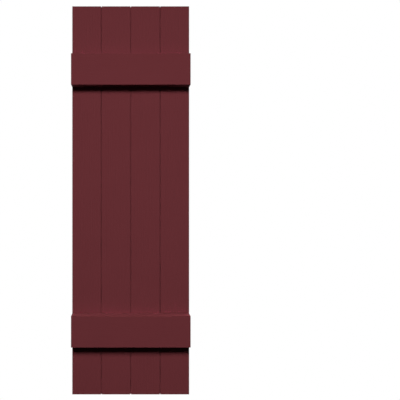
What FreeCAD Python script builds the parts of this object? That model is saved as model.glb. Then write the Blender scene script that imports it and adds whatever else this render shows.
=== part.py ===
import FreeCAD, Part
import os

# Board and batten shutter for the wall beside a window. Tongue-and-groove boards stand side by
# side with a narrow gap between their faces, and two battens across the front hold them
# together, screwed on from the back. Nothing moves: the shutter lies flat against the wall.
#
# Frame: X across the face to the right, Y into the wall, Z up. The origin is the middle of the
# back face, on the wall. Lengths are in millimetres.

INCH = 25.4

# Boards
shutter_height = 46.5 * INCH
board_count = 4
board_face_width = 87.4
board_thickness = 0.75 * INCH
board_face_ease = 0.6                # rounded arris round the face of each board
board_back_ease = 0.9                # and round its back

# Joint between neighbouring boards. Their faces stand apart by the gap, and behind it the
# tongue and the back lips close the joint.
joint_gap = 2.0
tongue_thickness = 0.375 * INCH
tongue_length = 0.25 * INCH          # beyond the back lip
tongue_tip_chamfer = 1.0
tongue_face_clearance = 0.2          # on each face of the tongue
tongue_tip_clearance = 0.8           # from the tongue's tip to the floor of the groove

# Battens, as long as the boards are wide together
batten_height = 3.6875 * INCH
batten_thickness = 1.0 * INCH
batten_end_distance = 153.2          # from the end of the boards to the batten's outer edge
batten_edge_radius = 0.8             # eased front edges and corners

# Countersunk screws, two through each board into each batten, set on a diagonal
screw_head_diameter = 8.4
screw_head_recess = 0.5              # how far the heads lie below the back face
screw_hole_diameter = 4.8            # clearance through the board
screw_pilot_diameter = 3.0           # in the batten
screw_tip_cover = 6.0                # batten left in front of the pilot hole's point
screw_side_distance = 0.75 * INCH    # from the sides of the board's face
screw_edge_distance = 1.0 * INCH     # from the batten's upper and lower edges

# Places that follow from these sizes
board_pitch = board_face_width + joint_gap
panel_width = board_count * board_pitch - joint_gap
panel_left = -panel_width / 2
panel_foot = -shutter_height / 2
panel_head = shutter_height / 2
board_lefts = [panel_left + number * board_pitch for number in range(board_count)]
board_front = -board_thickness
tongue_front = (board_front - tongue_thickness) / 2
tongue_back = tongue_front + tongue_thickness
batten_front = board_front - batten_thickness
upper_batten_foot = panel_head - batten_end_distance - batten_height
lower_batten_foot = panel_foot + batten_end_distance

on_plane = 0.001                     # how near an edge lies to the plane that it is found by
cutter_overrun = 1.0                 # how far a cutter stands out of the face that it enters


def tongue_points(face_right):
    """Tongue edge of a board from front to back: front lip, tongue with an eased tip, back lip."""
    lip_right = face_right + joint_gap
    tip = lip_right + tongue_length
    return [
        (face_right, tongue_front),
        (tip - tongue_tip_chamfer, tongue_front),
        (tip, tongue_front + tongue_tip_chamfer),
        (tip, tongue_back - tongue_tip_chamfer),
        (tip - tongue_tip_chamfer, tongue_back),
        (lip_right, tongue_back),
        (lip_right, 0),
    ]


def groove_points(left):
    """Grooved edge of a board from back to front."""
    floor = left + tongue_length + tongue_tip_clearance
    groove_front = tongue_front - tongue_face_clearance
    groove_back = tongue_back + tongue_face_clearance
    return [
        (left, groove_back),
        (floor, groove_back),
        (floor, groove_front),
        (left, groove_front),
    ]


def board_section(left, has_groove, has_tongue):
    """Cross-section of one board seen from above, as a face at the foot of the shutter."""
    face_right = left + board_face_width
    outline = [(left, board_front), (face_right, board_front)]
    outline += tongue_points(face_right) if has_tongue else [(face_right, 0)]
    outline += [(left, 0)]
    outline += groove_points(left) if has_groove else []
    corners = [FreeCAD.Vector(x, y, panel_foot) for x, y in outline]
    return Part.Face(Part.makePolygon(corners + corners[:1]))


def edges_at(solid, depth):
    """Edges of a solid that lie in the upright plane at one depth."""
    return [
        edge for edge in solid.Edges
        if abs(edge.BoundBox.YMin - depth) < on_plane and abs(edge.BoundBox.YMax - depth) < on_plane
    ]


def screw_cutter(x, z):
    """Square-angled countersink, clearance hole and pilot hole of one screw, turned about its axis."""
    mouth_radius = screw_head_diameter / 2 + screw_head_recess
    hole_radius = screw_hole_diameter / 2
    pilot_radius = screw_pilot_diameter / 2
    pilot_point = batten_front + screw_tip_cover
    outline = [
        (0, cutter_overrun),
        (mouth_radius + cutter_overrun, cutter_overrun),
        (hole_radius, hole_radius - mouth_radius),
        (hole_radius, board_front),
        (pilot_radius, board_front),
        (pilot_radius, pilot_point + pilot_radius),
        (0, pilot_point),
    ]
    corners = [FreeCAD.Vector(radius, y, 0) for radius, y in outline]
    half_section = Part.Face(Part.makePolygon(corners + corners[:1]))
    cutter = half_section.revolve(FreeCAD.Vector(0, 0, 0), FreeCAD.Vector(0, 1, 0), 360)
    cutter.translate(FreeCAD.Vector(x, 0, z))
    return cutter


def screw_cutters(board_left, batten_foot):
    """The pair of screws where one board crosses one batten."""
    board_right = board_left + board_face_width
    batten_head = batten_foot + batten_height
    return [
        screw_cutter(board_left + screw_side_distance, batten_head - screw_edge_distance),
        screw_cutter(board_right - screw_side_distance, batten_foot + screw_edge_distance),
    ]


def make_board(left, has_groove, has_tongue):
    """One board with its joint edges, eased face and back, and screw holes."""
    section = board_section(left, has_groove, has_tongue)
    board = section.extrude(FreeCAD.Vector(0, 0, shutter_height))
    board = board.makeFillet(board_face_ease, edges_at(board, board_front))
    board = board.makeFillet(board_back_ease, edges_at(board, 0))
    return board.cut(screw_cutters(left, upper_batten_foot) + screw_cutters(left, lower_batten_foot))


def make_batten(foot):
    """One batten, eased on all edges but those of its seat, with the pilot holes in its back."""
    corner = FreeCAD.Vector(panel_left, batten_front, foot)
    block = Part.makeBox(panel_width, batten_thickness, batten_height, corner)
    free_edges = [edge for edge in block.Edges if edge.BoundBox.YMin < board_front - on_plane]
    batten = block.makeFillet(batten_edge_radius, free_edges)
    cutters = []
    for left in board_lefts:
        cutters += screw_cutters(left, foot)
    return batten.cut(cutters)


pieces = {}
for number, left in enumerate(board_lefts):
    first = number == 0
    last = number == board_count - 1
    pieces[f"board_{number + 1}"] = make_board(left, has_groove=not first, has_tongue=not last)
pieces["upper_batten"] = make_batten(upper_batten_foot)
pieces["lower_batten"] = make_batten(lower_batten_foot)

os.makedirs("parts", exist_ok=True)
for name, shape in pieces.items():
    shape.exportStep(f"parts/{name}.step")
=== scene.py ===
import math
import bmesh
import bpy
from mathutils import Matrix, Vector


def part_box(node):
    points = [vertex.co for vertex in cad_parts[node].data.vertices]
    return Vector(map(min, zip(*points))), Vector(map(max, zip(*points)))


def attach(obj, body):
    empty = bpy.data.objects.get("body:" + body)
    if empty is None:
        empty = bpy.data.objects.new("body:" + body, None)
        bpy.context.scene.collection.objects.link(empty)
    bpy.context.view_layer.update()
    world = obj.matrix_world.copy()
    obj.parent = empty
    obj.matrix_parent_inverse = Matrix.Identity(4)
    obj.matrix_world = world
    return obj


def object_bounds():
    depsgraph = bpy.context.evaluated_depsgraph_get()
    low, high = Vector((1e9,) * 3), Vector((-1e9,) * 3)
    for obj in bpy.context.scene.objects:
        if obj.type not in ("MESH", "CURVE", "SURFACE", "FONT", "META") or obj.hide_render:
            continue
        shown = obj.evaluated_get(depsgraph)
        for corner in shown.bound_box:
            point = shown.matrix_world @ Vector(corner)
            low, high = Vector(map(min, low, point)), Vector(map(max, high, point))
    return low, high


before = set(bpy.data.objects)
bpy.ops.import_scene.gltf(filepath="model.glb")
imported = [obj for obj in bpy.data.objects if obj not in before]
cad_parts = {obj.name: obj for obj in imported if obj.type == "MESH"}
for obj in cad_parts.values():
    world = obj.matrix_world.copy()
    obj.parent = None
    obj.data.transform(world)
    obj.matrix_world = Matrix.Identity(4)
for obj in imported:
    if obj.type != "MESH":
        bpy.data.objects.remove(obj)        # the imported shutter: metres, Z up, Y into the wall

mm = 0.001
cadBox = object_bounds()     # lowest and highest corner of the bare solids
scene = bpy.context.scene
boards = [name for name in sorted(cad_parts) if name.startswith("board")]
battens = [name for name in sorted(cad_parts) if name.endswith("batten")]
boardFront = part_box(boards[0])[0].y      # depth of the boards' faces, with their backs at 0
print("frame loaded:", ", ".join(boards + battens))


# sRGB hex to the linear colour that shader sockets take
def toLinear(hexColour):
    channels = [int(hexColour[start:start + 2], 16) / 255 for start in (1, 3, 5)]
    linear = [c / 12.92 if c <= 0.04045 else ((c + 0.055) / 1.055) ** 2.4 for c in channels]
    return linear + [1.0]


# one node with its socket values, or the sockets that feed it, and its own settings
def addNode(tree, kind, sockets, **settings):
    node = tree.nodes.new(kind)
    for name, value in settings.items():
        setattr(node, name, value)
    for name, value in sockets.items():
        if isinstance(value, bpy.types.NodeSocket):
            tree.links.new(value, node.inputs[name])
        else:
            node.inputs[name].default_value = value
    return node


noiseSpan = {"From Min": 0.3, "From Max": 0.7}      # where most of a noise's values lie

# Wine-red satin acrylic paint, sprayed on planed cellular PVC: an even, nearly flat colour with
# a fine orange peel, faint tool marks along the piece, and a duller, fine-celled skin on sawn ends.
paint = {
    "colour": "#602C30",
    "roughness": 0.55,
    "roughnessSwing": 0.04,      # along the tool marks
    "specular": 0.5,
    "ior": 1.47,
    "toneSwing": 0.012,          # share of the colour
    "toneSize": 60,              # mm across a patch of tone
    "peelSize": 2.5,             # mm, drawn twice as coarse as real orange peel so that it shows
    "peelDepth": 0.4,            # mm, drawn deeper than real for the same reason
    "markWidth": 3.0,            # mm, drawn coarser than real planer marks
    "markLength": 150,           # mm
    "cellSize": 1.2,             # mm, drawn three times as coarse as real foam cells
    "cellDepth": 0.08,           # mm
    "endFacing": 0.9,            # how squarely a sawn end faces along the grain, at least
    "endRoughness": 0.12,        # more than on the faces
    "endTone": 0.94,
    "gapInset": 1.0,             # mm from the panel's sides, faces and backs, past their eased edges
    "paintedGapShade": 0.88,             # painted shade: the gaps between the boards drawn darker, where shade falls in them
}
# Marks in mm, drawn deeper than real, and shallower on the battens, where they lie across the light
boardCoat = {"grainAxis": "Z", "paintedLight": 1.0, "markDepth": 0.8}
# painted light: the battens' paint is drawn a shade lighter, for their faces standing nearer the key
# light
battenCoat = {"grainAxis": "X", "paintedLight": 1.025, "markDepth": 0.2}


# masks of 0 or 1: sawn ends face along the grain, and the gaps, where shade is painted, lie within the
# panel's width and between the boards' faces and backs. A comparison takes a place, the middle and the
# reach from it.
def endsAndGaps(tree, place, grainAxis):
    facing = addNode(tree, "ShaderNodeSeparateXYZ", {0: place.outputs["Normal"]})
    along = addNode(tree, "ShaderNodeMath", {0: facing.outputs[grainAxis]}, operation="ABSOLUTE")
    isEnd = addNode(tree, "ShaderNodeMath",
                    {0: along.outputs[0], 1: paint["endFacing"]}, operation="GREATER_THAN")

    inset = paint["gapInset"] * mm
    spot = addNode(tree, "ShaderNodeSeparateXYZ", {0: place.outputs["Object"]})
    inWidth = addNode(tree, "ShaderNodeMath",
                      {0: spot.outputs["X"], 1: 0.0, 2: cadBox[1].x - inset}, operation="COMPARE")
    inDepth = addNode(tree, "ShaderNodeMath",
                      {0: spot.outputs["Y"], 1: boardFront / 2, 2: -boardFront / 2 - inset},
                      operation="COMPARE")
    gapShadeMask = addNode(tree, "ShaderNodeMath",
                    {0: inWidth.outputs[0], 1: inDepth.outputs[0]}, operation="MULTIPLY")
    return isEnd.outputs[0], gapShadeMask.outputs[0]


def paintedPvc(name, grainAxis, paintedLight, markDepth):
    material = bpy.data.materials.new(name)
    material.use_nodes = True
    tree = material.node_tree
    shader = tree.nodes["Principled BSDF"]
    place = addNode(tree, "ShaderNodeTexCoord", {})
    point = place.outputs["Object"]
    isEnd, gapShadeMask = endsAndGaps(tree, place, grainAxis)

    patches = addNode(tree, "ShaderNodeTexNoise",
                      {"Vector": point, "Scale": 1 / (paint["toneSize"] * mm), "Detail": 2.0})
    stretch = [1 / (paint["markWidth"] * mm)] * 3
    stretch["XYZ".index(grainAxis)] = 1 / (paint["markLength"] * mm)
    stretched = addNode(tree, "ShaderNodeMapping", {"Vector": point, "Scale": stretch})
    marks = addNode(tree, "ShaderNodeTexNoise",
                    {"Vector": stretched.outputs[0], "Scale": 1.0, "Detail": 2.0})
    peel = addNode(tree, "ShaderNodeTexNoise",
                   {"Vector": point, "Scale": 1 / (paint["peelSize"] * mm), "Detail": 1.0})
    cells = addNode(tree, "ShaderNodeTexVoronoi",
                    {"Vector": point, "Scale": 1 / (paint["cellSize"] * mm)})

    # colour: slow patches of tone, the battens' painted light, painted shade in the gaps, and darker
    # ends
    tone = addNode(tree, "ShaderNodeMapRange",
                   {"Value": patches.outputs["Fac"], **noiseSpan,
                    "To Min": paintedLight - paint["toneSwing"],
                    "To Max": paintedLight + paint["toneSwing"]})
    # painted shade: the gaps between the boards drawn darker
    paintedGapShade = addNode(tree, "ShaderNodeMapRange",
                      {"Value": gapShadeMask, "To Min": 1.0, "To Max": paint["paintedGapShade"]})
    endTone = addNode(tree, "ShaderNodeMapRange",
                      {"Value": isEnd, "To Min": paintedGapShade.outputs[0], "To Max": paint["endTone"]})
    value = addNode(tree, "ShaderNodeMath",
                    {0: tone.outputs[0], 1: endTone.outputs[0]}, operation="MULTIPLY")
    colour = addNode(tree, "ShaderNodeHueSaturation",
                     {"Color": toLinear(paint["colour"]), "Value": value.outputs[0]})

    # roughness: swings along the tool marks, and rises on the ends
    sheen = addNode(tree, "ShaderNodeMapRange",
                    {"Value": marks.outputs["Fac"], **noiseSpan,
                     "To Min": paint["roughness"] - paint["roughnessSwing"],
                     "To Max": paint["roughness"] + paint["roughnessSwing"]})
    roughness = addNode(tree, "ShaderNodeMath",
                        {0: isEnd, 1: paint["endRoughness"], 2: sheen.outputs[0]},
                        operation="MULTIPLY_ADD")

    # relief: tool marks under orange peel, and open cells on the ends
    marked = addNode(tree, "ShaderNodeBump",
                     {"Height": marks.outputs["Fac"], "Distance": markDepth * mm})
    peeled = addNode(tree, "ShaderNodeBump",
                     {"Height": peel.outputs["Fac"], "Distance": paint["peelDepth"] * mm,
                      "Normal": marked.outputs[0]})
    relief = addNode(tree, "ShaderNodeBump",
                     {"Height": cells.outputs["Distance"], "Distance": paint["cellDepth"] * mm,
                      "Strength": isEnd, "Normal": peeled.outputs[0]})

    tree.links.new(colour.outputs[0], shader.inputs["Base Color"])
    tree.links.new(roughness.outputs[0], shader.inputs["Roughness"])
    tree.links.new(relief.outputs[0], shader.inputs["Normal"])
    shader.inputs["IOR"].default_value = paint["ior"]
    shader.inputs["Specular IOR Level"].default_value = paint["specular"]
    return material


boardPaint = paintedPvc("satinPaintOnPvcBoards", **boardCoat)
battenPaint = paintedPvc("satinPaintOnPvcBattensPaintedLighter", **battenCoat)
for name in boards + battens:
    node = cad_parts[name]
    node.data.materials.clear()
    node.data.materials.append(boardPaint if name in boards else battenPaint)
print("painted:", len(boards), "boards and", len(battens), "battens")


# Bright zinc plate on steel: a pale grey metal, a little cloudy, with a soft broken shine.
zinc = {
    "colour": "#C6C6C4",
    "roughness": 0.34,
    "roughnessSwing": 0.08,
    "cloudSize": 2.0,            # mm across a cloud in the plating
}


def platedSteel(name):
    material = bpy.data.materials.new(name)
    material.use_nodes = True
    tree = material.node_tree
    shader = tree.nodes["Principled BSDF"]
    place = addNode(tree, "ShaderNodeTexCoord", {})
    clouds = addNode(tree, "ShaderNodeTexNoise",
                     {"Vector": place.outputs["Object"], "Scale": 1 / (zinc["cloudSize"] * mm),
                      "Detail": 3.0})
    roughness = addNode(tree, "ShaderNodeMapRange",
                        {"Value": clouds.outputs["Fac"], **noiseSpan,
                         "To Min": zinc["roughness"] - zinc["roughnessSwing"],
                         "To Max": zinc["roughness"] + zinc["roughnessSwing"]})
    tree.links.new(roughness.outputs[0], shader.inputs["Roughness"])
    shader.inputs["Base Color"].default_value = toLinear(zinc["colour"])
    shader.inputs["Metallic"].default_value = 1.0
    return material


# Countersunk screws with a cross recess, driven from the back, two through each board into each
# batten. The solids hold their holes. Lengths in mm, along the screw from the top of its head.
screw = {
    "sideDistance": 19.05,       # from the sides of a board's face
    "edgeDistance": 25.4,        # from the batten's upper and lower edges
    "sunk": 0.5,                 # head below the boards' back faces
    "headRadius": 4.1,
    "rim": 0.2,                  # edge left on the head above its cone
    "shankRadius": 2.1,
    "shankEnd": 17.8,            # its cone ends just short of the batten
    "coreRadius": 1.4,
    "tipStart": 32.0,
    "length": 36.0,
    "crossReach": 2.4,           # from the middle of the recess to the ends of its wings
    "wingWidth": 1.1,
    "wingDepth": 1.5,
    "wellDepth": 0.8,            # middle of the recess, below the wings
    "taper": 0.62,               # foot of the recess against its mouth
    "turn": 53,                  # degrees from each screw's recess to the next, as they come to rest
    "segments": 48,
    "weld": 0.001,               # vertices this close become one
}


# body of a screw turned about Z, from the edge of its head down to its point, open at the top
def turnBody(shape):
    head, shank, core = (screw[key] * mm for key in ("headRadius", "shankRadius", "coreRadius"))
    rim, shankEnd, tipStart, tip = (screw[key] * mm for key in ("rim", "shankEnd", "tipStart", "length"))
    profile = [(head, 0), (head, rim), (shank, rim + head - shank), (shank, shankEnd),
               (core, shankEnd + shank - core), (core, tipStart), (0, tip)]
    points = [shape.verts.new((radius, 0, -depth)) for radius, depth in profile]
    line = [shape.edges.new(pair) for pair in zip(points, points[1:])]
    bmesh.ops.spin(shape, geom=points + line, axis=(0, 0, 1), angle=math.tau,
                   steps=screw["segments"], use_merge=True)
    bmesh.ops.remove_doubles(shape, verts=shape.verts, dist=screw["weld"] * mm)


# plus-shaped mouth of the recess: a grid of nine without its corners, narrowed to the wings
def crossMouth(shape):
    reach, half = screw["crossReach"] * mm, screw["wingWidth"] / 2 * mm
    first = len(shape.faces)
    grid = bmesh.ops.create_grid(shape, x_segments=3, y_segments=3, size=reach)["verts"]
    shape.faces.ensure_lookup_table()
    cells = shape.faces[first:]
    corners = [face for face in cells if min(map(abs, face.calc_center_median().xy)) > reach / 2]
    for axis in (0, 1):
        inner = [vert for vert in grid if abs(vert.co[axis]) < reach / 2]
        narrow = [1, 1, 1]
        narrow[axis] = half / (reach / 3)
        bmesh.ops.scale(shape, verts=inner, vec=narrow)
    bmesh.ops.delete(shape, geom=corners, context="FACES")
    return [face for face in cells if face.is_valid]


# pushes faces into the screw's head with tapering walls, and gives the floor that this leaves
def sink(shape, faces, depth):
    sunk = bmesh.ops.extrude_face_region(shape, geom=faces)["geom"]
    bmesh.ops.delete(shape, geom=faces, context="FACES")
    verts = [item for item in sunk if isinstance(item, bmesh.types.BMVert)]
    bmesh.ops.translate(shape, verts=verts, vec=(0, 0, -depth * mm))
    bmesh.ops.scale(shape, verts=verts, vec=(screw["taper"], screw["taper"], 1))
    return [item for item in sunk if isinstance(item, bmesh.types.BMFace)]


# vertices or faces in order of their places, because the operators' order varies from run to run
def sortByPlace(elements, placeOf):
    for number, element in enumerate(sorted(elements, key=placeOf)):
        element.index = number
    elements.sort()


# one screw at the origin, head up, with its recess sunk once more in the middle
def screwMesh():
    shape = bmesh.new()
    turnBody(shape)
    rimEdges = [edge for edge in shape.edges if edge.is_boundary]
    wings = crossMouth(shape)
    mouth = [edge for edge in shape.edges if edge.is_boundary and edge not in rimEdges]
    bmesh.ops.bridge_loops(shape, edges=rimEdges + mouth)
    floor = sink(shape, wings, screw["wingDepth"])
    middle = min(floor, key=lambda face: face.calc_center_median().xy.length)
    sink(shape, [middle], screw["wellDepth"])
    bmesh.ops.recalc_face_normals(shape, faces=shape.faces)
    sortByPlace(shape.verts, lambda vert: vert.co[:])
    sortByPlace(shape.faces, lambda face: face.calc_center_median()[:])
    mesh = bpy.data.meshes.new("screw")
    shape.to_mesh(mesh)
    shape.free()
    return mesh


# the screws of one batten as one mesh, turned so that their heads face the wall
def makeScrews(batten, single, material):
    low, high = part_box(batten)
    side, edge = screw["sideDistance"] * mm, screw["edgeDistance"] * mm
    lastLow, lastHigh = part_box(boards[-1])       # the one board with no tongue
    faceWidth = lastHigh.x - lastLow.x
    depth = lastHigh.y - screw["sunk"] * mm
    places = []
    for board in boards:
        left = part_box(board)[0].x
        places.append(Vector((left + side, depth, high.z - edge)))
        places.append(Vector((left + faceWidth - side, depth, low.z + edge)))

    shape = bmesh.new()
    headBack = Matrix.Rotation(math.radians(-90), 4, "X")
    for number, place in enumerate(places):
        first = len(shape.verts)
        shape.from_mesh(single)
        shape.verts.ensure_lookup_table()
        turn = Matrix.Rotation(math.radians(screw["turn"] * number), 4, "Z")
        seat = Matrix.Translation(place) @ headBack @ turn
        bmesh.ops.transform(shape, matrix=seat, verts=shape.verts[first:])
    mesh = bpy.data.meshes.new(batten + "_screws")
    shape.to_mesh(mesh)
    shape.free()
    mesh.materials.append(material)
    piece = bpy.data.objects.new(batten + "_screws", mesh)
    scene.collection.objects.link(piece)
    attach(piece, "root")


plate = platedSteel("brightZincPlateOnSteel")
oneScrew = screwMesh()
for name in battens:
    makeScrews(name, oneScrew, plate)
bpy.data.meshes.remove(oneScrew)
print("screws driven:", 2 * len(boards), "into each of", len(battens), "battens")


# Camera level and square to the face, as far away as the battens' perspective shows.
# Places in the picture are in pixels of its square frame.
view = {
    "frame": 400,
    "panelCentre": (130.70, 200.38),
    "eyePoint": (126.0, 200.0),      # where the lens looks square at the face
    "mmPerPixel": 3.042,             # on the boards' faces
    "distance": 1070,                # mm from the boards' faces
    "sensor": 36.0,                  # mm
}


def makeCamera():
    camera = bpy.data.objects.new("camera", bpy.data.cameras.new("camera"))
    scene.collection.objects.link(camera)
    data = camera.data
    data.sensor_width = view["sensor"]
    data.lens = view["distance"] / view["mmPerPixel"] / view["frame"] * view["sensor"]
    eye, centre = Vector(view["eyePoint"]), Vector(view["panelCentre"])
    data.shift_x = 0.5 - eye.x / view["frame"]
    data.shift_y = eye.y / view["frame"] - 0.5
    aside = (eye - centre) * view["mmPerPixel"] * mm
    camera.location = (aside.x, boardFront - view["distance"] * mm, -aside.y)
    camera.rotation_euler = (math.radians(90), 0, 0)
    scene.camera = camera


makeCamera()


# One soft light high in front draws the battens' shadows, and a faint one by the lens opens them.
# Two behind the shutter, one of them low, and one at each side show its back, foot and edges. None
# of these shows in the gloss. Places and sizes are in metres, and every light points at the origin.
lights = {
    "key": {"place": (-0.06, -1.28, 1.06), "size": (0.7, 0.6), "strength": 10.5, "evenness": 2.5},
    "fill": {"place": (0, -1.4, 0), "size": (1.0, 1.0), "strength": 0.25, "colour": "#FFC0C0"},
    "behind": {"place": (1.3, 1.7, 0.9), "size": (0.9, 0.9), "strength": 6.8, "colour": "#FFF0E6"},
    "behindLow": {"place": (-0.4, 1.5, -1.6), "size": (0.9, 0.9), "strength": 2.6, "colour": "#FFF0E6"},
    "leftSide": {"place": (-2.0, 0.5, 0.2), "size": (0.8, 1.6), "strength": 7.0},
    "rightSide": {"place": (2.0, 0.5, 0.2), "size": (0.8, 1.6), "strength": 7.0},
}
# Large dim panels that light no colour, only the gloss of the paint and the screws from other sides
sheens = {
    "backSheen": {"place": (0, 2.4, -0.6), "size": (8.0, 6.0), "strength": 40.0},
    "leftSheen": {"place": (-2.2, -0.7, 0), "size": (1.4, 2.6), "strength": 5.0},
    "rightSheen": {"place": (2.2, -0.7, 0), "size": (1.4, 2.6), "strength": 5.0},
}
# Strips on the battens' tops, against the boards, add to the light that the tops throw up the boards
glow = {
    "strength": {"upper_batten": 0.0145, "lower_batten": 0.0085},
    "colour": "#FFC0F8",
    "depth": 16,                 # mm out from the boards
    "lift": 0.5,                 # mm above the batten
}


# evenness is how far a light makes up for distance: at 0 it fades with the square of it, at 2 it
# doesn't fade, and past 2 it grows
def makeLight(name, place, size, strength, aim=(0, 0, 0), shape="ELLIPSE", colour="#FFFFFF",
              evenness=2.0, sheen=False):
    data = bpy.data.lights.new(name, "AREA")
    data.shape = shape
    data.size, data.size_y = size
    data.energy = 1.0
    data.color = toLinear(colour)[:3]
    data.use_nodes = True
    tree = data.node_tree
    ray = addNode(tree, "ShaderNodeLightPath", {})
    evened = addNode(tree, "ShaderNodeMath",
                     {0: ray.outputs["Ray Length"], 1: evenness}, operation="POWER")
    scaled = addNode(tree, "ShaderNodeMath", {0: evened.outputs[0], 1: strength}, operation="MULTIPLY")
    tree.links.new(scaled.outputs[0], tree.nodes["Emission"].inputs["Strength"])
    light = bpy.data.objects.new(name, data)
    light.location = place
    light.rotation_euler = (Vector(aim) - Vector(place)).to_track_quat("-Z", "Y").to_euler()
    light.visible_camera = False
    light.visible_diffuse = not sheen
    light.visible_glossy = sheen
    data.cycles.use_multiple_importance_sampling = False     # or else the gloss catches every light
    scene.collection.objects.link(light)


for name, settings in lights.items():
    makeLight(name, **settings)
for name, settings in sheens.items():
    makeLight(name, evenness=0, sheen=True, **settings)
for name in battens:
    low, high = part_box(name)
    depth = glow["depth"] * mm
    place = Vector(((low.x + high.x) / 2, high.y - depth / 2, high.z + glow["lift"] * mm))
    makeLight(name + "Glow", place, (high.x - low.x, depth), glow["strength"][name],
              aim=place + Vector((0, 0, 1)), shape="RECTANGLE", colour=glow["colour"], evenness=0)


# White studio: floor and surroundings show evenly white and leave the lighting to the lamps
studio = {
    "white": "#FFFFFF",
    "floorDrop": 600,            # mm below the foot of the shutter, which hangs on a wall
    "floorSize": 40,             # m
}


def makeStudio():
    paper = bpy.data.materials.new("whiteSeamlessPaper")
    paper.use_nodes = True
    tree = paper.node_tree
    tree.nodes.remove(tree.nodes["Principled BSDF"])
    white = addNode(tree, "ShaderNodeEmission", {"Color": toLinear(studio["white"]), "Strength": 1.0})
    tree.links.new(white.outputs[0], tree.nodes["Material Output"].inputs["Surface"])

    shape = bmesh.new()
    bmesh.ops.create_grid(shape, x_segments=1, y_segments=1, size=studio["floorSize"] / 2)
    bmesh.ops.translate(shape, verts=shape.verts, vec=(0, 0, cadBox[0].z - studio["floorDrop"] * mm))
    mesh = bpy.data.meshes.new("floor")
    shape.to_mesh(mesh)
    shape.free()
    mesh.materials.append(paper)
    floor = bpy.data.objects.new("floor", mesh)
    floor.visible_diffuse = False
    floor.visible_glossy = False
    floor.visible_shadow = False
    scene.collection.objects.link(floor)

    world = bpy.data.worlds.new("whiteStudio")
    scene.world = world
    world.use_nodes = True
    backdrop = world.node_tree.nodes["Background"]
    backdrop.inputs["Color"].default_value = toLinear(studio["white"])
    backdrop.inputs["Strength"].default_value = 1.0
    world.cycles_visibility.diffuse = False
    world.cycles_visibility.glossy = False


makeStudio()
scene.view_settings.view_transform = "Standard"
print("camera, lights and studio set")
